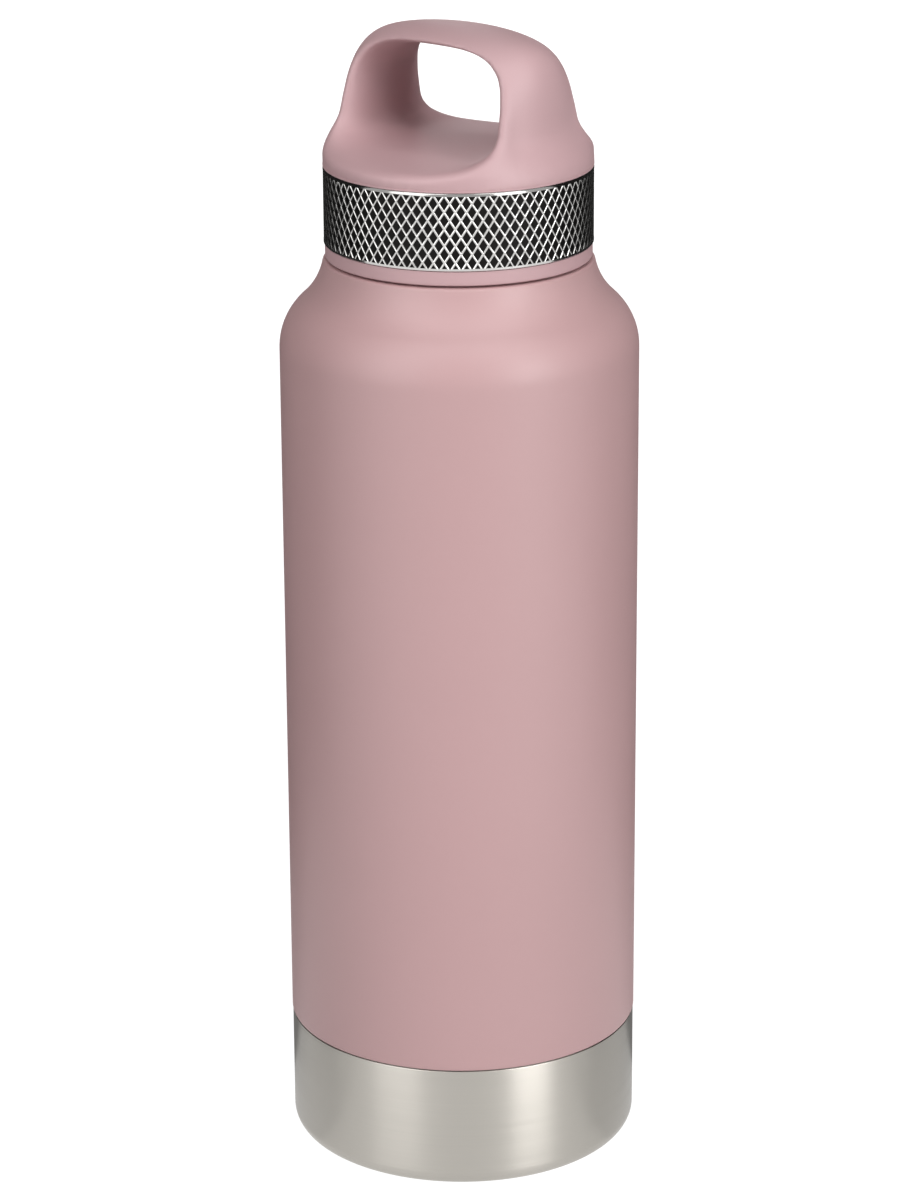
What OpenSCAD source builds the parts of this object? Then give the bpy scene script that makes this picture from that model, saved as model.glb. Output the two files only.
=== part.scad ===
// Vacuum-insulated steel drinking bottle with a screw lid, carry loop and knurled grip band.
// Millimetres, +Z up, origin on the standing plane at the middle of the base.

/* [Body] */
// Outer diameter of the painted body
body_d = 88; // [80:0.5:96]
// Height of the straight body wall above the standing plane
body_h = 207; // [150:1:240]
// Radius of the round shoulder
shoulder_r = 15.7; // [12:0.1:20]
// Radius of the hollow sweep between shoulder and lid
sweep_r = 18; // [14:0.5:24]
// Depth of the neck step below the point where the sweep runs upright
neck_step = 2.9; // [1.5:0.1:4]
// Bend radius at the outer edge of the neck step
step_round = 0.8; // [0.3:0.1:1.2]
// Wall of the outer shell
shell_wall = 0.7; // [0.5:0.1:1]
// Vacuum gap between outer shell and liner
vacuum_gap = 3; // [2:0.1:4]
// Wall of the liner
liner_wall = 0.6; // [0.4:0.1:0.9]

/* [Neck] */
// Height of the neck above its step
neck_h = 18.6; // [17:0.1:22]
// Clear diameter of the mouth
mouth_d = 50.8; // [48:0.2:52]
// Vacuum gap inside the neck
neck_gap = 1.5; // [1:0.1:2]
// Thickness of the rolled rim at the mouth
rim_t = 1.4; // [1:0.1:2]

/* [Base] */
// Step from the painted wall in to the bare steel base cup
base_step = 0.15; // [0.05:0.05:0.4]
// Height of the base cup
base_h = 32; // [24:1:40]
// Radius of the base cup's bottom corner
base_corner_r = 4.5; // [3:0.1:6]
// Wall of the base cup
base_wall = 0.6; // [0.4:0.1:0.9]
// Width of the flat ring that the bottle stands on
foot_w = 4.4; // [3:0.1:8]
// Depth of the recess inside the standing ring
foot_recess = 2; // [1:0.1:2.5]
// Seam between the base cup and the painted wall
seam = 0.3; // [0.2:0.05:0.5]

/* [Vacuum bottom] */
// Height of the straight weld edge of both bottom plates
weld_edge_h = 3; // [2:0.5:4]
// Bend radius of the outer bottom plate
outer_bend_r = 1.4; // [1.2:0.1:2]
// Bend radius of the liner's bottom plate
liner_bend_r = 7; // [4:0.5:10]
// Diameter of the sealing pit in the outer bottom plate
pit_d = 9; // [7:0.5:12]
// Depth of the sealing pit
pit_depth = 1.2; // [0.8:0.1:1.6]
// Diameter of the evacuation hole
evacuation_d = 2; // [1:0.1:3]
// Diameter of the getter pill
getter_d = 12; // [8:0.5:16]
// Height of the getter pill
getter_h = 2.2; // [1.5:0.1:2.6]
// Distance of the getter pill from the axis
getter_offset = 18; // [14:1:26]

/* [Lid] */
// Height of the grip band
band_h = 18.9; // [15:0.1:22]
// Wall of the grip band at its plain rims
band_wall = 1.2; // [0.9:0.1:1.5]
// Chamfer on the outer edges of the grip band
band_chamfer = 0.3; // [0.1:0.05:0.5]
// Height of the plain rims of the grip band
band_rim_h = 0.8; // [0.6:0.1:1.6]
// Depth of the knurled field below the plain rims
knurl_depth = 0.4; // [0.2:0.05:0.6]
// Step from the grip band in to the lip below it
lip_step = 0.3; // [0.1:0.05:0.6]
// Height of the lip below the grip band
lip_h = 3.5; // [2.5:0.1:5]
// Edge radius at the foot of the lip
lip_round = 0.5; // [0.2:0.1:1]
// Gap between the lip and the neck step
lid_gap = 0.5; // [0.3:0.1:0.8]
// Radial room between neck and skirt for the thread ridges
thread_room = 1.2; // [1:0.1:1.6]
// Wall of the skirt behind the grip band
skirt_wall = 2.15; // [1.6:0.05:3]
// Rise of the lid in one turn
thread_pitch = 4; // [3:0.5:5]
// Turns that open the lid
thread_turns = 1.5; // [1:0.25:2]
// Thickness of the gasket
gasket_t = 1.6; // [1.2:0.1:2.4]
// Radial width of the gasket
gasket_w = 3.4; // [2.6:0.1:3.6]
// Thickness of the skirt's ceiling plate
ceiling_t = 1.8; // [1.4:0.1:2.2]
// Gap between the mouth and the plug that hangs in it
plug_gap = 1.4; // [0.6:0.1:2]
// Wall of the plug
plug_wall = 1.8; // [1.4:0.1:2.4]
// Thickness of the plug's flange
plug_flange_t = 1.2; // [1:0.1:1.6]
// Height of the foam disc inside the plug
foam_h = 13; // [8:0.5:15]

/* [Carry loop] */
// Height of the loop above the grip band
loop_h = 34; // [30:0.5:42]
// Step from the grip band in to the loop's upright legs
leg_step = 4.7; // [2:0.1:7]
// Thickness of each leg at the middle of the opening
leg_t = 5.8; // [5:0.1:9]
// Depth of the loop along the tunnel, at the crown
loop_depth = 40; // [30:0.5:46]
// Squareness of the loop's outer arch
arch_power = 6.8; // [2.4:0.1:8]
// Squareness of the crown across the strap
crown_power = 2.5; // [2:0.1:4]
// Fall of the crown from its middle to the legs
crown_fall = 3.2; // [0:0.1:5]
// Squareness of a level section through the legs
leg_power = 2.4; // [2:0.1:3.5]
// Height of the upright collar at the foot of the cap
collar_h = 1.6; // [1.2:0.1:2.4]
// Height in which the legs flare out to the collar
leg_flare_h = 10.5; // [6:0.5:16]
// Height in which the strap's faces flare out to the collar
face_flare_h = 44; // [30:0.5:50]
// Height of the opening's floor above the grip band, at its middle
floor_h = 4.6; // [4.2:0.2:8]
// Height of the opening's floor above the grip band, at the cap's edge
floor_edge_h = 2.8; // [2.6:0.1:4]
// Thickness of the strap over the middle of the opening
strap_t = 4.9; // [4:0.1:6]
// Squareness of the opening's upper corners at its middle
ceiling_power = 3.2; // [2.2:0.1:4]
// Squareness of the opening's upper corners at the strap's edges
rim_power = 2.6; // [2.2:0.1:4]
// Squareness of the opening's lower corners
floor_power = 4.9; // [3:0.1:6]
// Widening of each side of the opening, from its middle to the cap's edge
side_flare = 11; // [6:0.5:14]
// Rise of the opening's ceiling, from its middle to the cap's edge
ceiling_flare = 15.5; // [6:0.5:18]

/* [Hidden] */
$fn = 128;

// Running gap between pieces of different bodies
clearance = 0.3;
// Gap between pieces that are pressed or welded together
fit_gap = 0.05;
// Overlap that makes a cut run clean through
cut = 1;

pink = [0.79, 0.65, 0.66];
steel = [0.74, 0.72, 0.69];
white_plastic = [0.86, 0.86, 0.84];

body_r = body_d / 2;
base_r = body_r - base_step;
foot_r = base_r - base_corner_r - foot_w;

// Radii from the mouth out through neck, thread, skirt and grip band to the loop
mouth_r = mouth_d / 2;
plug_r = mouth_r - plug_gap;
neck_r = mouth_r + liner_wall + neck_gap + shell_wall;
skirt_bore_r = neck_r + thread_room;
skirt_r = skirt_bore_r + skirt_wall;
band_inner_r = skirt_r + fit_gap;
band_r = band_inner_r + band_wall;
lip_r = band_r - lip_step;
flange_r = plug_r + gasket_w;
leg_r = band_r - leg_step;
opening_r = leg_r - leg_t;

// The shoulder's two arcs are tangent to the body wall, to each other and to the lid's outside
shoulder_turn = acos(1 - (body_r - band_r) / (shoulder_r + sweep_r));
sweep_top_z = body_h + (shoulder_r + sweep_r) * sin(shoulder_turn);
step_z = sweep_top_z - neck_step;
rim_z = step_z + neck_h;

// The shell is necked in by the base cup's wall, so that cup and paint lie nearly flush
socket_r = base_r - base_wall - fit_gap;
socket_z = base_corner_r + fit_gap;
liner_off = shell_wall + vacuum_gap;
liner_r = body_r - liner_off;
liner_z = socket_z + outer_bend_r + weld_edge_h + vacuum_gap;
liner_end_z = liner_z + liner_bend_r;

// Heights in the lid
lip_z = step_z + lid_gap;
band_z = lip_z + lip_h;
cap_z = band_z + band_h;
gasket_z = rim_z + clearance;
ceiling_z = gasket_z + gasket_t + clearance;
flange_z = ceiling_z + ceiling_t;
recess_z = flange_z + plug_flange_t;
foam_z = recess_z - clearance - foam_h;
lid_rise = thread_pitch * thread_turns;
plug_z = foam_z - lid_rise - clearance - plug_wall;

// Half section of the body, drawn inwards by off, up to the height top_z
module body_half(off, top_z) {
    shoulder_c = [body_r - shoulder_r, body_h];
    sweep_c = [band_r + sweep_r, sweep_top_z];
    tangent = shoulder_c + (shoulder_r - off) * [cos(shoulder_turn), sin(shoulder_turn)];
    intersection() {
        difference() {
            union() {
                square([body_r - off, body_h]);
                translate(shoulder_c) circle(r = shoulder_r - off);
                polygon([[0, 0], [shoulder_c.x, body_h], tangent, [tangent.x, top_z], [0, top_z]]);
            }
            translate(sweep_c) circle(r = sweep_r + off);
        }
        square([body_r, top_z]);
    }
}

// Rounds the outer edge of the neck step on the half section it is given
module rounded_step() {
    sweep_c = [band_r + sweep_r, sweep_top_z];
    round_z = step_z - step_round;
    reach = sweep_r + step_round;
    round_c = [sweep_c.x - sqrt(pow(reach, 2) - pow(sweep_c.y - round_z, 2)), round_z];
    touch = sweep_c + (round_c - sweep_c) * sweep_r / reach;
    difference() {
        children();
        translate([round_c.x, touch.y]) square([body_r, neck_h]);
    }
    translate(round_c) circle(r = step_round);
}

module outer_shell() {
    socket_top = base_h + seam;
    color(pink) rotate_extrude() difference() {
        union() {
            rounded_step() body_half(0, step_z);
            square([neck_r, rim_z - rim_t]);
        }
        translate([socket_r, -cut]) square([body_r, socket_top + cut]);
        translate([0, -cut]) square([body_r, socket_z + cut]);
        square([socket_r - shell_wall, socket_top + shell_wall]);
        translate([0, socket_top + shell_wall]) intersection() {
            translate([0, -socket_top - shell_wall]) body_half(shell_wall, step_z - shell_wall);
            square([body_r, rim_z]);
        }
        square([neck_r - shell_wall, rim_z]);
    }
}

// Half section of a cup with a round corner and a raised middle, drawn inwards by off
module cup_half(off) {
    corner = base_corner_r - off;
    wall_r = base_r - off;
    difference() {
        union() {
            translate([0, off]) square([wall_r - corner, base_h]);
            translate([0, base_corner_r]) square([wall_r, base_h - base_corner_r + off]);
            translate([wall_r - corner, base_corner_r]) circle(r = corner);
        }
        square([foot_r + off, foot_recess + off]);
        translate([0, base_h + off]) square([base_r, base_corner_r]);
    }
}

module base_cup() {
    color(steel) rotate_extrude() difference() {
        cup_half(0);
        cup_half(base_wall);
    }
}

// Half section of a disc with a quarter-round bend up to a straight edge
module dish_half(r, bend_r) {
    square([r - bend_r, bend_r + weld_edge_h]);
    translate([0, bend_r]) square([r, weld_edge_h]);
    intersection() {
        translate([r - bend_r, bend_r]) circle(r = bend_r);
        square([r, bend_r]);
    }
}

// Half section of a pressed bottom plate
module plate_half(r, wall, bend_r) {
    difference() {
        dish_half(r, bend_r);
        translate([0, wall]) dish_half(r - wall, bend_r - wall);
    }
}

module outer_bottom() {
    pit_r = pit_d / 2;
    color(steel) translate([0, 0, socket_z]) rotate_extrude() difference() {
        union() {
            plate_half(socket_r - shell_wall - fit_gap, shell_wall, outer_bend_r);
            square([pit_r + shell_wall, pit_depth + shell_wall]);
        }
        translate([0, -cut]) square([pit_r, pit_depth + cut]);
        translate([0, -cut]) square([evacuation_d / 2, pit_depth + shell_wall + 2 * cut]);
    }
}

module sealing_bead() {
    bead_r = pit_d / 2 - fit_gap;
    color([0.35, 0.3, 0.28]) translate([0, 0, socket_z]) rotate_extrude() {
        translate([0, pit_depth / 2]) square([bead_r, pit_depth / 2]);
        square([bead_r - pit_depth / 2, pit_depth]);
        translate([bead_r - pit_depth / 2, pit_depth / 2]) circle(r = pit_depth / 2);
    }
}

module getter() {
    color([0.45, 0.45, 0.47]) translate([getter_offset, 0, socket_z + shell_wall])
        cylinder(d = getter_d, h = getter_h);
}

module inner_liner() {
    top_z = step_z - liner_off;
    rim_mid = rim_z - rim_t / 2;
    color(steel) rotate_extrude() {
        difference() {
            union() {
                body_half(liner_off, top_z);
                square([mouth_r + liner_wall, rim_mid]);
            }
            translate([0, -cut]) square([body_r, liner_end_z + cut]);
            body_half(liner_off + liner_wall, top_z - liner_wall);
            square([mouth_r, rim_z]);
        }
        translate([mouth_r + rim_t / 2, rim_z - rim_t]) square([neck_r - mouth_r - rim_t, rim_t]);
        translate([mouth_r + rim_t / 2, rim_mid]) circle(r = rim_t / 2);
        translate([neck_r - rim_t / 2, rim_mid]) circle(r = rim_t / 2);
    }
}

module liner_bottom() {
    color(steel) translate([0, 0, liner_z]) rotate_extrude()
        plate_half(liner_r - liner_wall - fit_gap, liner_wall, liner_bend_r);
}

module lid_skirt() {
    color(pink) rotate_extrude() difference() {
        union() {
            translate([0, lip_z]) square([lip_r - lip_round, lip_h]);
            translate([0, lip_z + lip_round]) square([lip_r, lip_h - lip_round]);
            translate([lip_r - lip_round, lip_z + lip_round]) circle(r = lip_round);
            translate([0, band_z]) square([skirt_r, recess_z - band_z]);
        }
        square([skirt_bore_r, ceiling_z]);
        square([plug_r + fit_gap, recess_z + cut]);
        translate([0, flange_z]) square([flange_r + fit_gap, plug_flange_t + cut]);
    }
}

module grip_band() {
    top_z = band_z + band_h;
    edge_r = band_r - band_chamfer;
    color(steel) rotate_extrude() difference() {
        polygon([[band_inner_r, band_z], [edge_r, band_z], [band_r, band_z + band_chamfer],
            [band_r, top_z - band_chamfer], [edge_r, top_z], [band_inner_r, top_z]]);
        translate([band_r - knurl_depth, band_z + band_rim_h]) square([band_wall, band_h - 2 * band_rim_h]);
    }
}

module lid_plug() {
    color(white_plastic) rotate_extrude() difference() {
        union() {
            translate([0, plug_z]) square([plug_r, recess_z - plug_z]);
            translate([0, flange_z]) square([flange_r, plug_flange_t]);
        }
        translate([0, plug_z + plug_wall]) square([plug_r - plug_wall, recess_z - plug_z]);
    }
}

module insulation_disc() {
    color([0.95, 0.93, 0.88]) translate([0, 0, foam_z])
        cylinder(r = plug_r - plug_wall - clearance, h = foam_h);
}

module gasket() {
    color([0.9, 0.9, 0.9]) rotate_extrude() translate([plug_r + clearance, gasket_z])
        square([gasket_w, gasket_t]);
}

// Eases from 1 at 0 to 0 at 1, level at both ends
function ease(t) = let (c = max(0, min(1, t))) 1 - c * c * (3 - 2 * c);

// One level turn of a superellipse with half axes a and b
function oval(a, b, power, count) = [for (i = [0:count - 1])
    let (t = 360 * i / count, c = cos(t), s = sin(t))
    [a * sign(c) * pow(abs(c), 2 / power), b * sign(s) * pow(abs(s), 2 / power)]];

// Closed solid through rings of equally many points
module loft(rings) {
    count = len(rings[0]);
    last = len(rings) - 1;
    polyhedron(
        points = [for (ring = rings) each ring],
        faces = [
            [for (i = [0:count - 1]) i],
            [for (i = [count - 1:-1:0]) last * count + i],
            for (k = [0:last - 1], i = [0:count - 1])
                let (a = k * count + i, b = k * count + (i + 1) % count)
                each [[a, a + count, b + count], [a, b + count, b]]
        ]);
}

// Half axes of the cap's outside at a height above the grip band
function arch_x(h) = let (flare = ease((h - collar_h) / leg_flare_h))
    (leg_r + leg_step * flare) * pow(1 - pow(h / loop_h, arch_power), 1 / arch_power);
function arch_y(h) = let (flare = ease((h - collar_h) / face_flare_h))
    (loop_depth / 2 + (band_r - loop_depth / 2) * flare) * pow(1 - pow(h / loop_h, crown_power), 1 / crown_power);
function section_power(h) = 2 + (leg_power - 2) * (1 - ease((h - collar_h) / face_flare_h));
function crown_drop(x, h) = crown_fall * pow(x * h / (leg_r * loop_h), 2);

module cap_outside() {
    levels = 30;
    sides = 56;
    crown_end = 89;
    loft([for (k = [0:levels])
        let (h = loop_h * sin(crown_end * k / levels), ring = oval(arch_x(h), arch_y(h), section_power(h), sides))
        [for (p = ring) [p.x, p.y, cap_z + h - crown_drop(p.x, h)]]]);
}

module finger_opening() {
    steps = 16;
    sides = 44;
    reach = band_r + cut;
    translate([0, 0, cap_z]) rotate([90, 0, 0]) loft([for (k = [-steps / 2:steps / 2])
        let (share = 2 * k / steps, spread = share * share,
            low = floor_h - (floor_h - floor_edge_h) * spread,
            high = loop_h - strap_t + ceiling_flare * spread,
            half_w = opening_r + side_flare * spread, half_h = (high - low) / 2,
            corner_power = ceiling_power + (rim_power - ceiling_power) * min(1, 4 * spread),
            upper = oval(half_w, half_h, corner_power, sides),
            lower = oval(half_w, half_h, floor_power, sides))
        [for (i = [0:sides - 1])
            let (p = 2 * i < sides ? upper[i] : lower[i])
            [p.x, (low + high) / 2 + p.y, share * reach]]]);
}

module handle_cap() {
    color(pink) difference() {
        cap_outside();
        finger_opening();
        translate([0, 0, cap_z - cut]) cylinder(r = band_inner_r, h = recess_z - cap_z + cut);
    }
}

outer_shell();
base_cup();
outer_bottom();
sealing_bead();
getter();
inner_liner();
liner_bottom();
lid_skirt();
grip_band();
lid_plug();
insulation_disc();
gasket();
handle_cap();
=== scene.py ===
# Vacuum-insulated steel bottle with a screw lid and a carry loop: the finish of every piece.
import math

import bmesh
import bpy
from mathutils import Euler, Matrix, Vector


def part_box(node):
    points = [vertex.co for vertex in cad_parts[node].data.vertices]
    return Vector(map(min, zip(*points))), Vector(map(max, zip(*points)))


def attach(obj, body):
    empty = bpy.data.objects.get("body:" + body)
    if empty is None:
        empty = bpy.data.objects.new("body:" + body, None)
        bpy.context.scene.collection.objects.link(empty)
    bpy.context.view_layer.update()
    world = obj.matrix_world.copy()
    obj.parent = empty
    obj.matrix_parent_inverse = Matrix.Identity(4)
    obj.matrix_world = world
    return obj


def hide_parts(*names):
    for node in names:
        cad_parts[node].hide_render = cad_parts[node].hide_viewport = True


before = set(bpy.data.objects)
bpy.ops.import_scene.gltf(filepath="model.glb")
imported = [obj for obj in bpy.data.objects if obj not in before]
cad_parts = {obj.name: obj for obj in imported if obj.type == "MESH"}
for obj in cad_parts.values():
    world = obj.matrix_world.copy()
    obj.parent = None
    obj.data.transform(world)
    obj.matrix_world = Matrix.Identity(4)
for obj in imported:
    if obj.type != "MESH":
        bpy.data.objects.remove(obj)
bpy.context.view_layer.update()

# Liner: the steel vessel that holds the drink, a drawn tube that is necked in at the shoulder.
# A pressed plate is welded into its foot, and its top edge is rolled out into the rim of the mouth.
# Both are turned about the axis here, with the fine ring marks that polishing leaves inside.
mm = 0.001
body_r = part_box("outer_shell")[1].x / mm
band_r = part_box("grip_band")[1].x / mm
wall_top = 207
shoulder_r = 15.7
sweep_r = 18
shell_wall = 0.7
vacuum_gap = 3
liner_wall = 0.6
mouth_r = 25.4
neck_r = 28.2
rim_t = 1.4
lid_gap = 0.5
step_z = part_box("lid_skirt")[0].z / mm - lid_gap


class Wire:
    """One output of a node. Sums on it add Math nodes to the node's own tree."""

    def __init__(self, tree, socket):
        self.tree = tree
        self.socket = socket

    @staticmethod
    def add(tree, kind, links=None, output=0, **settings):
        """A new node: its settings first, then the values or links of its sockets."""
        made = tree.nodes.new(kind)
        for name, value in settings.items():
            setattr(made, name, value)
        for name, value in (links or {}).items():
            if isinstance(value, Wire):
                tree.links.new(value.socket, made.inputs[name])
            else:
                made.inputs[name].default_value = value
        return Wire(tree, made.outputs[output])

    def math(self, operation, *values):
        return Wire.add(self.tree, "ShaderNodeMath", dict(enumerate(values)), operation=operation)

    def part(self, axis):
        """The X, Y or Z of a vector."""
        return Wire.add(self.tree, "ShaderNodeSeparateXYZ", {0: self}, output=axis)

    def blend(self, low, high):
        """A colour between two colours, by this wire's value."""
        links = {0: self, 6: (*low, 1.0), 7: (*high, 1.0)}
        return Wire.add(self.tree, "ShaderNodeMix", links, output=2, data_type="RGBA")

    def feed(self, node, name):
        self.tree.links.new(self.socket, node.inputs[name])

    def __add__(self, other):
        return self.math("ADD", self, other)

    def __sub__(self, other):
        return self.math("SUBTRACT", self, other)

    def __rsub__(self, other):
        return self.math("SUBTRACT", other, self)

    def __mul__(self, other):
        return self.math("MULTIPLY", self, other)

    def __truediv__(self, other):
        return self.math("DIVIDE", self, other)

    def __pow__(self, other):
        return self.math("POWER", self, other)

    __radd__ = __add__
    __rmul__ = __mul__


def new_material(name, **constants):
    """A material with its tree and its shader, whose constant sockets are set by name."""
    material = bpy.data.materials.new(name)
    material.use_nodes = True
    shader = material.node_tree.nodes["Principled BSDF"]
    for socket, value in constants.items():
        shader.inputs[socket.replace("_", " ")].default_value = value
    return material, material.node_tree, shader


def noise(tree, place, scale, detail=2.0):
    links = {"Vector": place, "Scale": scale, "Detail": detail}
    return Wire.add(tree, "ShaderNodeTexNoise", links)


def roughen(tree, shader, height, depth):
    """Relief of a real depth in metres."""
    links = {"Height": height, "Distance": depth, "Strength": 1.0}
    Wire.add(tree, "ShaderNodeBump", links).feed(shader, "Normal")


def turned_steel(name, colour, roughness, line_depth, drawn=0.0):
    """Bare steel with fine marks that run round the axis, which draw its highlights out across them."""
    material, tree, shader = new_material(name, Metallic=1.0, Anisotropic=drawn, Anisotropic_Rotation=0.25)
    place = Wire.add(tree, "ShaderNodeTexCoord", output="Object")
    x, y, z = place.part("X"), place.part("Y"), place.part("Z")
    along = z + (x * x + y * y) ** 0.5
    lines = []
    for round_scale, line_scale in ((12.0, 2600.0), (30.0, 9000.0)):
        links = {0: x * round_scale, 1: y * round_scale, 2: along * line_scale}
        stretched = Wire.add(tree, "ShaderNodeCombineXYZ", links)
        lines.append(noise(tree, stretched, 1.0, 3.0))
    coarse, fine = lines
    mark = coarse * 0.6 + fine * 0.4
    cloud = noise(tree, place, 45.0)
    dark = [c * 0.86 for c in colour]
    (mark * 0.7 + cloud * 0.3).blend(dark, colour).feed(shader, "Base Color")
    (roughness + (mark - 0.5) * 0.22 + (cloud - 0.5) * 0.08).feed(shader, "Roughness")
    roughen(tree, shader, mark, line_depth)
    return material


def arc(centre, radius, start, end, steps=10):
    """Points of an arc in a half section, between two angles in degrees."""
    turns = [math.radians(start + (end - start) * i / steps) for i in range(steps + 1)]
    return [(centre[0] + radius * math.cos(a), centre[1] + radius * math.sin(a)) for a in turns]


shoulder_turn = math.degrees(math.acos(1 - (body_r - band_r) / (shoulder_r + sweep_r)))
sweep_z = wall_top + (shoulder_r + sweep_r) * math.sin(math.radians(shoulder_turn))
shoulder_c = (body_r - shoulder_r, wall_top)
sweep_c = (band_r + sweep_r, sweep_z)


def body_line(inset, foot, top):
    """The body's wall, shoulder and sweep up to a height, moved inwards by an inset."""
    end = math.degrees(math.asin((sweep_z - top) / (sweep_r + inset)))
    return [
        (body_r - inset, foot),
        *arc(shoulder_c, shoulder_r - inset, 0, shoulder_turn, 16),
        *arc(sweep_c, sweep_r + inset, 180 + shoulder_turn, 180 + end, 16)[1:],
    ]


def turned(name, node, body, strokes, steps=240):
    """Strokes of a closed half section, each with its material, turned into a piece that stands for a node.

    The section runs up the outside and down the inside, so that the faces point outwards.
    """
    on_axis = 1e-6
    points = [(p, index) for index, (_, stroke) in enumerate(strokes) for p in stroke]
    shape = bmesh.new()
    rings = []
    for (r, z), _ in points:
        count = 1 if r < on_axis else steps
        angles = [2 * math.pi * i / steps for i in range(count)]
        ring = [shape.verts.new((r * mm * math.cos(a), r * mm * math.sin(a), z * mm)) for a in angles]
        rings.append(ring * steps if count == 1 else ring)
    for k, (_, index) in enumerate(points):
        low, high = rings[k], rings[(k + 1) % len(rings)]
        for i in range(steps):
            j = (i + 1) % steps
            corners = list(dict.fromkeys((low[i], low[j], high[j], high[i])))
            if len(corners) > 2:
                shape.faces.new(corners).material_index = index
    mesh = bpy.data.meshes.new(name)
    shape.to_mesh(mesh)
    shape.free()
    for material, _ in strokes:
        mesh.materials.append(material)
    return finished(mesh, [node], body)


def finished(mesh, nodes, body):
    """Puts a mesh in the scene with smooth faces and crisp edges, on its body and for its nodes."""
    crisp_angle = math.radians(32)
    mesh.shade_smooth()
    mesh.set_sharp_from_angle(angle=crisp_angle)
    piece = bpy.data.objects.new(mesh.name, mesh)
    bpy.context.scene.collection.objects.link(piece)
    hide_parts(*nodes)
    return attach(piece, body)


inside_steel = turned_steel("polished_steel", (0.60, 0.595, 0.585), roughness=0.3, line_depth=2e-6)
liner_inset = shell_wall + vacuum_gap
liner_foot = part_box("inner_liner")[0].z / mm
rim_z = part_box("inner_liner")[1].z / mm
rim_mid = rim_z - rim_t / 2
plate_top = step_z - liner_inset
plate_low = plate_top - liner_wall
neck_bend = 1.5
turned("liner", "inner_liner", "bottle", [(inside_steel, [
    *body_line(liner_inset, liner_foot, plate_top),
    (mouth_r + liner_wall, plate_top),
    (mouth_r + liner_wall, rim_z - rim_t),
    *arc((neck_r - rim_t / 2, rim_mid), rim_t / 2, -90, 90),
    *arc((mouth_r + rim_t / 2, rim_mid), rim_t / 2, 90, 180),
    *arc((mouth_r + neck_bend, plate_low + neck_bend), neck_bend, 180, 270),
    *reversed(body_line(liner_inset + liner_wall, liner_foot, plate_low)),
])])

floor_low, floor_high = (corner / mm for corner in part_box("liner_bottom"))
floor_bend = 7
bend_c = (floor_high.x - floor_bend, floor_low.z + floor_bend)
turned("liner_floor", "liner_bottom", "bottle", [(inside_steel, [
    (0, floor_low.z),
    *arc(bend_c, floor_bend, -90, 0),
    (floor_high.x, floor_high.z),
    (floor_high.x - liner_wall, floor_high.z),
    *arc(bend_c, floor_bend - liner_wall, 0, -90),
    (0, floor_low.z + liner_wall),
])])

# Outer shell: the drawn steel body with a satin powder coat, necked in at its foot for the base cup.
# The coat stops at the neck step, and the neck above it is bare steel, because the lid covers it.
# The bend at the step and the edge of the coat at the seam are rounded as the real ones are.
pink_coat = (0.565, 0.357, 0.362)


def powder_coat(name, colour):
    """Satin baked powder: a faint orange-peel relief and a slow drift in tone and gloss."""
    material, tree, shader = new_material(name, IOR=1.5)
    place = Wire.add(tree, "ShaderNodeTexCoord", output="Object")
    peel = noise(tree, place, 1500.0, 3.0)
    drift = noise(tree, place, 22.0)
    light = [min(1.0, c * 1.03) for c in colour]
    dark = [c * 0.97 for c in colour]
    (peel * 0.35 + drift * 0.65).blend(dark, light).feed(shader, "Base Color")
    (0.43 + (peel - 0.5) * 0.16 + (drift - 0.5) * 0.06).feed(shader, "Roughness")
    roughen(tree, shader, peel, 7e-6)
    return material


coat = powder_coat("powder_coat", pink_coat)
neck_steel = turned_steel("neck_steel", (0.58, 0.575, 0.565), roughness=0.34, line_depth=2e-6)
cup_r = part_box("base_cup")[1].x / mm
cup_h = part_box("base_cup")[1].z / mm
cup_wall = 0.6
fit_gap = 0.05
seam = 0.3
shell_low, shell_high = (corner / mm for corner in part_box("outer_shell"))
socket_r = cup_r - cup_wall - fit_gap
socket_top = cup_h + seam
wall_foot = socket_top + 1
coat_edge = 0.25
step_round = 0.8
root_round = 0.6
round_z = step_z - step_round
round_x = sweep_c[0] - math.sqrt((sweep_r + step_round) ** 2 - (sweep_z - round_z) ** 2)
touch = math.degrees(math.atan2(sweep_z - round_z, sweep_c[0] - round_x))
touch_z = sweep_z - sweep_r * math.sin(math.radians(touch))
turned("shell", "outer_shell", "bottle", [
    (neck_steel, [(socket_r, shell_low.z)]),
    (coat, [
        (socket_r, socket_top),
        *arc((body_r - coat_edge, socket_top + coat_edge), coat_edge, -90, 0, 5),
        *body_line(0, wall_foot, touch_z),
        *arc((round_x, round_z), step_round, touch, 90, 8)[1:],
    ]),
    (neck_steel, [
        *arc((neck_r + root_round, step_z + root_round), root_round, -90, -180, 6),
        (neck_r, shell_high.z),
        (neck_r - shell_wall, shell_high.z),
        (neck_r - shell_wall, step_z - shell_wall),
        *reversed(body_line(shell_wall, socket_top + shell_wall, step_z - shell_wall)),
        (socket_r - shell_wall, socket_top + shell_wall),
        (socket_r - shell_wall, shell_low.z),
    ]),
])

# Neck thread: one right-hand ridge rolled into the bare neck, rounded and run out at both ends.
# The lid's own ridge, moulded inside the skirt, lies half a pitch below it and draws the lid down.
# One tree winds both: a bar is bent round the axis, its crest turned out on the neck and in on the lid.
thread_pitch = 4
ridge_h = 0.75
ridge_w = 1.7
ridge_sink = 0.2
thread_turns = 1.4
thread_foot = 239.2


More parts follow.
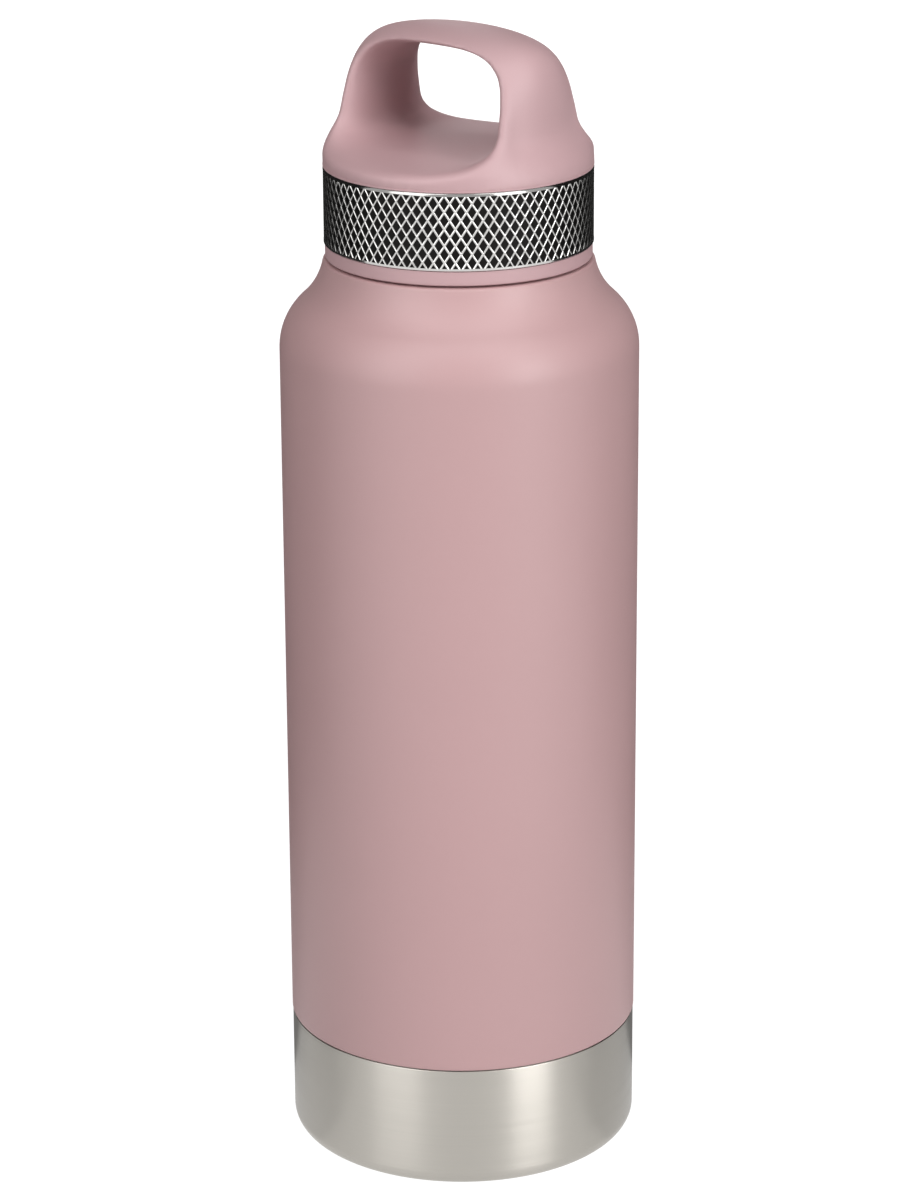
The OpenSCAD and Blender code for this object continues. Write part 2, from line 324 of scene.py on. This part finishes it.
def new_tree(name, kinds):
    """A tree with an input of each kind, a wire from every input, and the inputs' keys."""
    tree = bpy.data.node_groups.new(name, "GeometryNodeTree")
    keys = {}
    for label, kind in kinds.items():
        item = tree.interface.new_socket(label, in_out="INPUT", socket_type="NodeSocket" + kind)
        keys[label] = item.identifier
    tree.interface.new_socket("Geometry", in_out="OUTPUT", socket_type="NodeSocketGeometry")
    group_in = tree.nodes.new("NodeGroupInput")
    return tree, {label: Wire(tree, group_in.outputs[label]) for label in keys}, keys


def end_tree(tree, shape, finish):
    """Gives out a shape as real mesh in its material."""
    real = Wire.add(tree, "GeometryNodeRealizeInstances", {"Geometry": shape})
    coated = Wire.add(tree, "GeometryNodeSetMaterial", {"Geometry": real, "Material": finish})
    coated.feed(tree.nodes.new("NodeGroupOutput"), "Geometry")


def thread_tree():
    """A bar of unit size, bent into a helix with a rounded crest."""
    ends_per_turn = 6
    crest_power = 0.6
    floats = ("Wall radius", "Sink", "Crest", "Width", "Pitch", "Turns", "Foot", "Start turn")
    kinds = {**dict.fromkeys(floats, "Float"), "Finish": "Material"}
    tree, size, keys = new_tree("thread_ridge", kinds)
    counts = {"Size": (1, 1, 1), "Vertices X": 241, "Vertices Y": 2, "Vertices Z": 9}
    bar = Wire.add(tree, "GeometryNodeMeshCube", counts)
    place = Wire.add(tree, "GeometryNodeInputPosition")
    along, out, across = place.part("X") + 0.5, place.part("Y") + 0.5, place.part("Z") * 2
    run_out = along.math("MINIMUM", along, 1 - along) * size["Turns"] * ends_per_turn
    run_out = run_out.math("MINIMUM", run_out, 1.0)
    ends = run_out * run_out * (3 - 2 * run_out)
    crown = (1 - across * across) ** crest_power
    radius = size["Wall radius"] + size["Sink"] * (1 - out) + size["Crest"] * out * ends * crown
    angle = (size["Start turn"] + size["Turns"] * along) * (2 * math.pi)
    height = size["Foot"] + size["Pitch"] * size["Turns"] * along + size["Width"] * across * 0.5
    links = {0: radius * angle.math("COSINE", angle), 1: radius * angle.math("SINE", angle), 2: height}
    wound = Wire.add(tree, "ShaderNodeCombineXYZ", links)
    moved = Wire.add(tree, "GeometryNodeSetPosition", {"Geometry": bar, "Position": wound})
    end_tree(tree, moved, size["Finish"])
    return tree, keys


def baked(name, tree, keys, **values):
    """The plain mesh that a tree makes from these inputs, with its doubled points joined."""
    same_place = 1e-6
    carrier = bpy.data.objects.new(name, bpy.data.meshes.new(name))
    bpy.context.scene.collection.objects.link(carrier)
    modifier = carrier.modifiers.new("tree", "NODES")
    modifier.node_group = tree
    for key, value in values.items():
        modifier[keys[key.replace("_", " ")]] = value
    depsgraph = bpy.context.evaluated_depsgraph_get()
    mesh = bpy.data.meshes.new_from_object(carrier.evaluated_get(depsgraph))
    carrier.modifiers.remove(modifier)
    bpy.data.meshes.remove(carrier.data)
    shape = bmesh.new()
    shape.from_mesh(mesh)
    bmesh.ops.remove_doubles(shape, verts=shape.verts, dist=same_place)
    bmesh.ops.recalc_face_normals(shape, faces=shape.faces)
    shape.to_mesh(mesh)
    shape.free()
    mesh.name = name
    return mesh


ridge_tree, ridge_keys = thread_tree()
neck_ridge = baked(
    "neck_thread", ridge_tree, ridge_keys, Wall_radius=neck_r * mm, Sink=-ridge_sink * mm,
    Crest=ridge_h * mm, Width=ridge_w * mm, Pitch=thread_pitch * mm, Turns=thread_turns,
    Foot=thread_foot * mm, Start_turn=0.0, Finish=neck_steel)
finished(neck_ridge, [], "bottle")

# Vacuum bottom: the plate that closes the outer shell, with its evacuation hole sealed by a glass bead.
# A getter pill welded inside keeps the vacuum good. All three stay sealed between liner and base cup.


def plain_finish(name, colour, roughness, grain, depth, **constants):
    """A plain even surface with a fine grain in tone, gloss and relief."""
    material, tree, shader = new_material(name, **constants)
    place = Wire.add(tree, "ShaderNodeTexCoord", output="Object")
    fine = noise(tree, place, 1 / grain, 3.0)
    slow = noise(tree, place, 30.0)
    (fine * 0.5 + slow * 0.5).blend([c * 0.93 for c in colour], colour).feed(shader, "Base Color")
    (roughness + (fine - 0.5) * 0.14).feed(shader, "Roughness")
    roughen(tree, shader, fine, depth)
    return material


hidden_finishes = {
    "outer_bottom": turned_steel(
        "pressed_steel", (0.58, 0.575, 0.565), roughness=0.36, line_depth=2e-6),
    "sealing_bead": plain_finish(
        "sealing_glass", (0.10, 0.075, 0.065), roughness=0.18, grain=0.4 * mm, depth=4e-6, IOR=1.55),
    "getter": plain_finish(
        "sintered_metal", (0.17, 0.17, 0.18), roughness=0.6, grain=0.2 * mm, depth=2e-5, Metallic=1.0),
}
for node, finish in hidden_finishes.items():
    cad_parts[node].data.materials.clear()
    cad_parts[node].data.materials.append(finish)

# Base cup: a bare stainless cup pressed over the necked-in foot of the shell, nearly flush with the coat.
# It is spun and brushed on a lathe, so its marks run round, and light draws into upright bands on it.
# The bottle stands on a flat ring round a shallow recess. A fine dark seam parts it from the coat.
cup_steel = turned_steel("brushed_steel", (0.458, 0.435, 0.398), roughness=0.36, line_depth=2e-6, drawn=0.85)
corner_r = 4.5
foot_w = 4.4
foot_r = cup_r - corner_r - foot_w
recess = 2
edge = 0.2
corner_c = (cup_r - corner_r, corner_r)
turned("base", "base_cup", "bottle", [(cup_steel, [
    (0, recess),
    *arc((foot_r - edge, recess - edge), edge, 90, 0, 4),
    *arc((foot_r + edge, edge), edge, 180, 270, 4),
    *arc(corner_c, corner_r, -90, 0, 16),
    *arc((cup_r - edge, cup_h - edge), edge, 0, 90, 4),
    (cup_r - cup_wall, cup_h),
    *arc(corner_c, corner_r - cup_wall, 0, -90, 12),
    (foot_r + cup_wall, cup_wall),
    (foot_r + cup_wall, recess + cup_wall),
    (0, recess + cup_wall),
])])

# Lid skirt: the moulded plastic ring that screws over the neck, in the body's colour.
# Only its lip shows, below the grip band, with a thin dark gap to the shell's step.
# Its top seats the plug's flange and the loop's cap, which are welded down on it.
pink_plastic = (0.590, 0.385, 0.402)


def moulded_plastic(name, colour, roughness):
    """Matt moulded plastic with the fine sparked texture of its mould."""
    material, tree, shader = new_material(name, IOR=1.47)
    place = Wire.add(tree, "ShaderNodeTexCoord", output="Object")
    spark = noise(tree, place, 3800.0, 2.0)
    flow = noise(tree, place, 40.0)
    dark = [c * 0.96 for c in colour]
    light = [min(1.0, c * 1.03) for c in colour]
    (spark * 0.4 + flow * 0.6).blend(dark, light).feed(shader, "Base Color")
    (roughness + (spark - 0.5) * 0.14 + (flow - 0.5) * 0.05).feed(shader, "Roughness")
    roughen(tree, shader, spark, 5e-6)
    return material


lid_plastic = moulded_plastic("lid_plastic", pink_plastic, roughness=0.47)
skirt_low, skirt_high = (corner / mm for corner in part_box("lid_skirt"))
plug_low, plug_high = (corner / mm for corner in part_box("lid_plug"))
band_low, band_high = (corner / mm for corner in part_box("grip_band"))
thread_room = 1.2
band_wall = 1.2
plug_r = 24
flange_t = 1.2
ceiling_t = 1.8
lip_round = 0.5
bore_r = neck_r + thread_room
skirt_r = band_r - band_wall - fit_gap
flange_z = plug_high.z - flange_t
ceiling_z = flange_z - ceiling_t
turned("skirt", "lid_skirt", "lid", [(lid_plastic, [
    *arc((bore_r + lip_round, skirt_low.z + lip_round), lip_round, 180, 270, 5),
    *arc((skirt_high.x - lip_round, skirt_low.z + lip_round), lip_round, -90, 0, 6),
    (skirt_high.x, band_low.z),
    (skirt_r, band_low.z),
    (skirt_r, skirt_high.z),
    (plug_high.x + fit_gap, skirt_high.z),
    (plug_high.x + fit_gap, flange_z),
    (plug_r + fit_gap, flange_z),
    (plug_r + fit_gap, ceiling_z),
    (bore_r, ceiling_z),
])])
skirt_ridge = baked(
    "skirt_thread", ridge_tree, ridge_keys, Wall_radius=bore_r * mm, Sink=ridge_sink * mm,
    Crest=-ridge_h * mm, Width=ridge_w * mm, Pitch=thread_pitch * mm, Turns=thread_turns,
    Foot=(thread_foot - thread_pitch / 2) * mm, Start_turn=0.0, Finish=lid_plastic)
finished(skirt_ridge, [], "lid")

# Grip band: a bright steel ring round the skirt with a diamond knurl rolled between two plain rims.
# Raised ridges cross in a lattice round dark, sunken diamonds, as many round it as the photo shows.
# The ring is turned, and a tree sets one cell after another round it. The rims cut the outer rows off.
rim_h = 0.8
chamfer = 0.3
field_r = band_r - 0.4
crest_r = band_r - 0.04
pit_r = band_r - 0.36
hidden_r = pit_r - 0.2
pit_shade_r, bright_r = crest_r - 0.18, crest_r - 0.07
columns = 78
rows = 5
cell_turn = 2 * math.pi / columns
cell_h = 4.05
lattice_foot = band_low.z + 0.13
lattice_turn = -0.245


def knurled_steel(name, bright, dark):
    """Bright steel on the crests that falls to a near-black painted shade in the pits, by depth alone."""
    material, tree, shader = new_material(name, Metallic=1.0)
    place = Wire.add(tree, "ShaderNodeTexCoord", output="Object")
    x, y = place.part("X"), place.part("Y")
    depth = (x * x + y * y) ** 0.5 / mm
    links = {"Value": depth, "From Min": pit_shade_r, "From Max": bright_r}
    crest = Wire.add(tree, "ShaderNodeMapRange", links, interpolation_type="SMOOTHSTEP")
    wear = noise(tree, place, 260.0, 3.0)
    crest.blend(dark, bright).feed(shader, "Base Color")
    (0.5 - crest * 0.36 + (wear - 0.5) * 0.16).feed(shader, "Roughness")
    roughen(tree, shader, noise(tree, place, 2500.0), 3e-6)
    return material


# The pits' near-black colour is painted shade; the crests keep the steel's own tone.
band_steel = knurled_steel("knurled_steel", (0.57, 0.562, 0.548), (0.012, 0.0115, 0.011))
# The rim's steel is darker than the knurl's crests: painted shade for the dim room it would reflect, leaving
# only the lamps bright in it.
rim_steel = turned_steel("rim_steel", (0.34, 0.334, 0.324), roughness=0.12, line_depth=1e-6)
crown_r = (rim_h ** 2 + chamfer ** 2) / (2 * chamfer)
crown_turn = math.degrees(math.asin(rim_h / crown_r))
turned("band", "grip_band", "lid", [
    (band_steel, [
        (band_r - band_wall, band_low.z),
        (band_r - chamfer, band_low.z),
        (band_r, band_low.z + chamfer),
        (band_r, band_low.z + rim_h),
        (field_r, band_low.z + rim_h),
        (field_r, band_high.z - rim_h),
    ]),
    (rim_steel, [
        *arc((band_r - crown_r, band_high.z - rim_h), crown_r, 0, crown_turn),
        (band_r - band_wall, band_high.z),
    ]),
])


def diamond_cell(name):
    """One diamond at the front of the band: half a ridge round its edge, stepped down to the pit."""
    steps = ((1.0, crest_r), (0.93, crest_r - 0.02), (0.78, crest_r - 0.14), (0.6, pit_r))
    corners = ((0.5, 0), (0, 0.5), (-0.5, 0), (0, -0.5))
    sides = len(corners)
    points = []
    for share, radius in steps:
        for across, up in corners:
            turn = across * share * cell_turn
            points.append((radius * math.cos(turn), radius * math.sin(turn), up * share * cell_h))
    pit = len(points) - sides
    faces = [list(range(pit, len(points)))]
    for level in range(0, pit, sides):
        for i in range(sides):
            a, b = level + i, level + (i + 1) % sides
            faces.append([a, b, b + sides, a + sides])
    mesh = bpy.data.meshes.new(name)
    mesh.from_pydata([Vector(p) * mm for p in points], [], faces)
    return bpy.data.objects.new(name, mesh)


def knurl_tree():
    """A cell set round the axis in rows, with a second set of rows half a cell on from the first."""
    kinds = {"Cell": "Object", "Columns": "Int", "Rows": "Int", "Row height": "Float", "Foot": "Float",
             "Start turn": "Float", "Finish": "Material"}
    tree, size, keys = new_tree("diamond_knurl", kinds)
    join = tree.nodes.new("GeometryNodeJoinGeometry")
    index = Wire.add(tree, "GeometryNodeInputIndex")
    row = index / size["Columns"]
    row = row.math("FLOOR", row)
    shape = Wire.add(tree, "GeometryNodeObjectInfo", {"Object": size["Cell"]}, output="Geometry")
    for row_count, shift in ((size["Rows"], 0.5), (size["Rows"] + 1, 0.0)):
        height = size["Foot"] + (row + shift) * size["Row height"]
        place = Wire.add(tree, "ShaderNodeCombineXYZ", {2: height})
        links = {"Count": size["Columns"] * row_count, "Position": place}
        points = Wire.add(tree, "GeometryNodePoints", links)
        turn = (index + size["Start turn"] + shift) / size["Columns"] * (2 * math.pi)
        facing = Wire.add(tree, "ShaderNodeCombineXYZ", {2: turn})
        links = {"Points": points, "Instance": shape, "Rotation": facing}
        Wire.add(tree, "GeometryNodeInstanceOnPoints", links).feed(join, "Geometry")
    end_tree(tree, Wire(tree, join.outputs[0]), size["Finish"])
    return tree, keys


def between(mesh, low, high, inner):
    """Cuts away what lies outside two heights, and closes the ring that is left with a wall inside it."""
    shape = bmesh.new()
    shape.from_mesh(mesh)
    for height, up in ((low, -1), (high, 1)):
        everything = [*shape.verts, *shape.edges, *shape.faces]
        cut_at = Vector((0, 0, height * mm))
        bmesh.ops.bisect_plane(shape, geom=everything, plane_co=cut_at, plane_no=(0, 0, up), clear_outer=True)
    ends = [e for e in shape.edges if e.is_boundary]
    grown = bmesh.ops.extrude_edge_only(shape, edges=ends)["geom"]
    for vertex in (v for v in grown if isinstance(v, bmesh.types.BMVert)):
        vertex.co.xy = vertex.co.xy.normalized() * inner * mm
    bmesh.ops.bridge_loops(shape, edges=[e for e in shape.edges if e.is_boundary])
    bmesh.ops.recalc_face_normals(shape, faces=shape.faces)
    shape.to_mesh(mesh)
    shape.free()
    return mesh


cell = diamond_cell("cell")
lattice, lattice_keys = knurl_tree()
knurl = baked(
    "knurl", lattice, lattice_keys, Cell=cell, Columns=columns, Rows=rows, Row_height=cell_h * mm,
    Foot=lattice_foot * mm, Start_turn=lattice_turn, Finish=band_steel)
bpy.data.objects.remove(cell)
knurl = between(knurl, band_low.z + rim_h, band_high.z - rim_h, hidden_r)
finished(knurl, [], "lid")

# Plug, foam and gasket: the hollow white plug hangs in the mouth and holds a disc of rigid foam.
# A silicone ring round its root is what the lid presses on the rim. They show when the lid is off.
plug_plastic = moulded_plastic("plug_plastic", (0.74, 0.735, 0.715), roughness=0.42)
plug_wall = 1.8
plug_round = 1.2
plug_in = plug_r - plug_wall
turned("plug", "lid_plug", "lid", [(plug_plastic, [
    (0, plug_low.z),
    *arc((plug_r - plug_round, plug_low.z + plug_round), plug_round, -90, 0, 8),
    (plug_r, flange_z),
    (plug_high.x, flange_z),
    (plug_high.x, plug_high.z),
    (plug_in, plug_high.z),
    (plug_in, plug_low.z + plug_wall),
    (0, plug_low.z + plug_wall),
])], steps=160)

foam_low, foam_high = (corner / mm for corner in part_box("insulation_disc"))
foam = plain_finish("rigid_foam", (0.88, 0.85, 0.78), roughness=0.8, grain=0.6 * mm, depth=6e-5)
foam_round = 0.6
turned("foam_disc", "insulation_disc", "lid_core", [(foam, [
    (0, foam_low.z),
    *arc((foam_high.x - foam_round, foam_low.z + foam_round), foam_round, -90, 0, 4),
    *arc((foam_high.x - foam_round, foam_high.z - foam_round), foam_round, 0, 90, 4),
    (0, foam_high.z),
])], steps=120)

seal_low, seal_high = (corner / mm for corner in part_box("gasket"))
silicone = plain_finish(
    "silicone", (0.80, 0.80, 0.79), roughness=0.45, grain=0.25 * mm, depth=4e-6, IOR=1.41)
seal_gap = 0.3
seal_in = plug_r + seal_gap
seal_edge = 0.35
turned("seal_ring", "gasket", "lid_seal", [(silicone, [
    *arc((seal_in + seal_edge, seal_low.z + seal_edge), seal_edge, 180, 270, 4),
    *arc((seal_high.x - seal_edge, seal_low.z + seal_edge), seal_edge, -90, 0, 4),
    *arc((seal_high.x - seal_edge, seal_high.z - seal_edge), seal_edge, 0, 90, 4),
    *arc((seal_in + seal_edge, seal_high.z - seal_edge), seal_edge, 90, 180, 4),
])], steps=160)

# Carry loop: one matt moulding in the lid's colour, a broad strap on two legs that flare into a collar.
# A fine remesh of a copy of the solid eases its edges, and the finger opening's rims are rounded further.
# The collar's foot is then cut square again, so that it meets the grip band in a crisp line.
voxel = 0.5 * mm
ease_passes = 24
rim_passes = 80
rim_swell = 0.6
rim_full, rim_none = 1.2, 4.2
crown_full, crown_none = 1.2, 3.0
opening_x, opening_low, opening_high = 22.3, 4.6, 29.1
opening_flare = (11, -1.8, 15.5)
opening_power = 4
rim_y = 14
foot_held, foot_free = 0.5, 3.5
foot_edge = 0.1
collar_cut = 0.45
cap_foot, cap_top = (corner.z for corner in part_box("handle_cap"))
recess_r = band_r - band_wall
recess_top = plug_high.z
recess_margin = 0.4


def near_opening(place):
    """One on the finger opening's wall and nothing a few millimetres out from it, with the sides' share."""
    spread = (place.y / mm / band_r) ** 2
    sizes = zip((opening_x, opening_low, opening_high), opening_flare)
    half_w, low, high = (at + flare * spread for at, flare in sizes)
    half_h = (high - low) / 2
    across = (abs(place.x / mm) / half_w) ** opening_power
    up = (abs((place.z - cap_foot) / mm - (low + high) / 2) / half_h) ** opening_power
    out = ((across + up) ** (1 / opening_power) - 1) * half_h
    near = min(1.0, max(0.0, (rim_none - out) / (rim_none - rim_full)))
    return near, across / (across + up)


def applied(carrier):
    """The mesh that a carrier's modifiers make of its own. The carrier goes."""
    depsgraph = bpy.context.evaluated_depsgraph_get()
    mesh = bpy.data.meshes.new_from_object(carrier.evaluated_get(depsgraph))
    bpy.data.objects.remove(carrier)
    return mesh


def loop_skin():
    """A copy of the loop's solid in a fine and even mesh."""
    same_place = 1e-6
    shape = bmesh.new()
    shape.from_mesh(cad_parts["handle_cap"].data)
    bmesh.ops.remove_doubles(shape, verts=shape.verts, dist=same_place)
    mesh = bpy.data.meshes.new("loop_copy")
    shape.to_mesh(mesh)
    shape.free()
    carrier = bpy.data.objects.new("loop_copy", mesh)
    bpy.context.scene.collection.objects.link(carrier)
    remesh = carrier.modifiers.new("skin", "REMESH")
    remesh.mode = "VOXEL"
    remesh.voxel_size = voxel
    remesh.use_smooth_shade = True
    return applied(carrier)


def eased_loop(skin):
    """The skin with softened edges: its collar's foot is held, and the opening's rims move most."""
    carrier = bpy.data.objects.new("loop_skin", skin)
    bpy.context.scene.collection.objects.link(carrier)
    free = carrier.vertex_groups.new(name="free")
    rims = carrier.vertex_groups.new(name="rims")
    fuller = carrier.vertex_groups.new(name="fuller")
    start, full = cap_foot + foot_held * mm, cap_foot + foot_free * mm
    middle = cap_foot + (opening_low + opening_high) / 2 * mm
    rim_flare = opening_flare[0] * (rim_y / band_r) ** 2
    for vertex in skin.vertices:
        share = min(1.0, max(0.0, (vertex.co.z - start) / (full - start)))
        near, side = near_opening(vertex.co)
        free.add([vertex.index], share, "REPLACE")
        crown = (crown_none - (cap_top - vertex.co.z) / mm) / (crown_none - crown_full)
        rims.add([vertex.index], share * max(near, min(1.0, crown)), "REPLACE")
        fuller.add([vertex.index], share * near * (side if vertex.co.z > middle else 1.0), "REPLACE")
        depth = min(1.0, abs(vertex.co.y) / (rim_y * mm))
        flatter = near * side * rim_flare * (depth ** 2 - depth ** 5) * mm
        vertex.co.x -= math.copysign(flatter, vertex.co.x)
    for group, passes in ((free, ease_passes), (rims, rim_passes)):
        soften = carrier.modifiers.new("soften", "SMOOTH")
        soften.factor = 0.5
        soften.iterations = passes
        soften.vertex_group = group.name
    swell = carrier.modifiers.new("swell", "DISPLACE")
    swell.strength = rim_swell * mm
    swell.mid_level = 0.0
    swell.vertex_group = fuller.name
    return applied(carrier)


def squared_foot(mesh):
    """Cuts the collar level and closes it with an upright wall, a flat foot and the recess over the skirt."""
    shape = bmesh.new()
    shape.from_mesh(mesh)
    everything = [*shape.verts, *shape.edges, *shape.faces]
    cut_at = Vector((0, 0, cap_foot + collar_cut * mm))
    bmesh.ops.bisect_plane(shape, geom=everything, plane_co=cut_at, plane_no=(0, 0, 1), clear_inner=True)
    inner_r, inner_top = (recess_r + recess_margin) * mm, (recess_top + recess_margin) * mm
    centres = [(f, f.calc_center_median()) for f in shape.faces]
    recess = [f for f, c in centres if c.xy.length < inner_r and c.z < inner_top]
    bmesh.ops.delete(shape, geom=recess, context="FACES")
    loop = [e for e in shape.edges if e.is_boundary]
    section = (
        (band_r, cap_foot + collar_cut * mm),
        (band_r, cap_foot + foot_edge * mm),
        (band_r - foot_edge, cap_foot),
        (recess_r, cap_foot),
        (recess_r, recess_top * mm),
    )
    for radius, height in section:
        grown = bmesh.ops.extrude_edge_only(shape, edges=loop)["geom"]
        for vertex in (v for v in grown if isinstance(v, bmesh.types.BMVert)):
            flat = vertex.co.xy.normalized() * radius * mm
            vertex.co = (flat.x, flat.y, height)
        loop = [e for e in grown if isinstance(e, bmesh.types.BMEdge)]
    bmesh.ops.holes_fill(shape, edges=loop, sides=0)
    bmesh.ops.recalc_face_normals(shape, faces=shape.faces)
    shape.to_mesh(mesh)
    shape.free()
    mesh.name = "loop"
    return mesh


loop_mesh = squared_foot(eased_loop(loop_skin()))
loop_mesh.materials.clear()
loop_mesh.materials.append(lid_plastic)
finished(loop_mesh, ["handle_cap"], "lid")

# Studio: soft boxes either side of the camera, above and behind, and a white floor that is clear from below.
# Grey cards round the back stand in for the dim room, so that steel and coat darken towards their edges.
# The camera stands where the photograph's stood, worked out from the ellipses and edges in it.
camera_turn = 39.5
camera_away = 0.9552
camera_height = 0.464
camera_pitch = 18.688
camera_roll = -0.316
focal_px = 4034.2
frame_w, frame_h = 919, 1200
middle_px = 460.79
sensor = 36


def around(turn, away, height):
    """A point at a distance from the axis, turned to the right from the camera's side by an angle."""
    angle = math.radians(camera_turn + turn)
    return Vector((math.sin(angle) * away, -math.cos(angle) * away, height))


lens = bpy.data.cameras.new("camera")
lens.sensor_width = sensor
lens.lens = focal_px / frame_h * sensor
lens.shift_x = (frame_w / 2 - middle_px) / frame_h
camera = bpy.data.objects.new("camera", lens)
camera.location = around(0, camera_away, camera_height)
level = Euler((math.radians(90 - camera_pitch), 0, math.radians(camera_turn))).to_matrix()
camera.rotation_euler = (level @ Matrix.Rotation(math.radians(camera_roll), 3, "Z")).to_euler()
bpy.context.scene.collection.objects.link(camera)
bpy.context.scene.camera = camera


aim_z = 0.14
lamp_away = 1.6


def soft_box(name, turn, lift, wide, tall, power):
    """An area lamp that faces the bottle's middle, turned and lifted from the camera's side by angles."""
    lamp = bpy.data.lights.new(name, "AREA")
    lamp.shape = "RECTANGLE"
    lamp.size, lamp.size_y = wide, tall
    lamp.energy = power
    piece = bpy.data.objects.new(name, lamp)
    middle = Vector((0, 0, aim_z))
    rise = math.radians(lift)
    piece.location = middle + around(turn, lamp_away * math.cos(rise), lamp_away * math.sin(rise))
    piece.rotation_euler = (middle - piece.location).to_track_quat("-Z", "Y").to_euler()
    bpy.context.scene.collection.objects.link(piece)
    return piece


soft_box("right_box", turn=44.5, lift=14, wide=0.72, tall=1.3, power=15.5)
soft_box("left_box", turn=-43, lift=20, wide=0.9, tall=1.3, power=9.3)
soft_box("front_box", turn=-34, lift=54, wide=0.8, tall=0.8, power=5.2)
soft_box("high_box", turn=40, lift=58, wide=0.9, tall=0.9, power=6.8)
top_box = soft_box("top_box", turn=180, lift=68, wide=0.9, tall=0.9, power=1.6)
back_box = soft_box("back_box", turn=180, lift=8, wide=1.3, tall=0.8, power=13)
top_box.visible_glossy = back_box.visible_glossy = False


def grey_card(name, start, end, low, high, tone):
    """A curved card between two edges, each an away and a height, that shows in reflections alone."""
    steps = 16
    turns = [start + (end - start) * i / steps for i in range(steps + 1)]
    points = [around(turn, *edge) for edge in (low, high) for turn in turns]
    faces = [(i, i + 1, i + steps + 2, i + steps + 1) for i in range(steps)]
    mesh = bpy.data.meshes.new(name)
    mesh.from_pydata(points, [], faces)
    material = bpy.data.materials.new(name)
    material.use_nodes = True
    tree = material.node_tree
    glow = Wire.add(tree, "ShaderNodeEmission", {"Color": (tone, tone, tone, 1), "Strength": 1.0})
    glow.feed(tree.nodes["Material Output"], "Surface")
    mesh.materials.append(material)
    card = bpy.data.objects.new(name, mesh)
    card.visible_camera = card.visible_diffuse = card.visible_shadow = False
    bpy.context.scene.collection.objects.link(card)


card_in, card_out, card_middle, card_top = (0.046, mm), (0.2, mm), (0.2, 0.025), (0.2, 0.8)
white_tone, grey_tone, dark_tone = 0.93, 0.34, 0.03
cards = {
    "side_card": (62, 118, card_in, card_out, white_tone),
    "foot_card": (118, 176, card_in, card_out, grey_tone),
    "wall_card": (80, 112, card_middle, card_top, dark_tone),
    "back_card": (112, 176, card_out, card_top, dark_tone),
}
for side, hand in ((1, "right"), (-1, "left")):
    for card, (start, end, low, high, tone) in cards.items():
        grey_card(f"{hand}_{card}", side * start, side * end, low, high, tone)


def seen_white(tree):
    """One for camera rays and mirrored rays, nothing for the rays that light."""
    path = tree.nodes.new("ShaderNodeLightPath")
    rays = [Wire(tree, path.outputs[n]) for n in ("Is Camera Ray", "Is Glossy Ray", "Is Transmission Ray")]
    total = rays[0] + rays[1] + rays[2]
    return total.math("MINIMUM", total, 1.0)


fill_light = 0.02
world = bpy.data.worlds.new("studio")
world.use_nodes = True
bpy.context.scene.world = world
sky = world.node_tree
sky.nodes.clear()
lit = Wire.add(sky, "ShaderNodeBackground", {"Color": (1, 1, 1, 1), "Strength": fill_light})
white = Wire.add(sky, "ShaderNodeBackground", {"Color": (1, 1, 1, 1), "Strength": 1.0})
both = Wire.add(sky, "ShaderNodeMixShader", {0: seen_white(sky), 1: lit, 2: white})
both.feed(sky.nodes.new("ShaderNodeOutputWorld"), "Surface")

floor_half = 6
floor_z = -0.05 * mm
floor_tone = 0.45
floor_glow = 1.43
white_share = 0.7
floor_mesh = bpy.data.meshes.new("floor")
corners = [(x * floor_half, y * floor_half, floor_z) for x, y in ((-1, -1), (1, -1), (1, 1), (-1, 1))]
floor_mesh.from_pydata(corners, [], [(0, 1, 2, 3)])
floor = bpy.data.objects.new("floor", floor_mesh)
bpy.context.scene.collection.objects.link(floor)
paper, paper_tree, paper_shader = new_material("white_floor", Roughness=0.9)
paper_shader.inputs["Base Color"].default_value = (floor_tone, floor_tone, floor_tone, 1)
glow = Wire.add(paper_tree, "ShaderNodeEmission", {"Color": (1, 1, 1, 1), "Strength": floor_glow})
links = {0: seen_white(paper_tree) * white_share, 1: Wire(paper_tree, paper_shader.outputs[0]), 2: glow}
sheet = Wire.add(paper_tree, "ShaderNodeMixShader", links)
underside = Wire.add(paper_tree, "ShaderNodeNewGeometry", output="Backfacing")
links = {0: underside, 1: sheet, 2: Wire.add(paper_tree, "ShaderNodeBsdfTransparent")}
Wire.add(paper_tree, "ShaderNodeMixShader", links).feed(paper_tree.nodes["Material Output"], "Surface")
floor_mesh.materials.append(paper)

bpy.context.scene.view_settings.view_transform = "Standard"
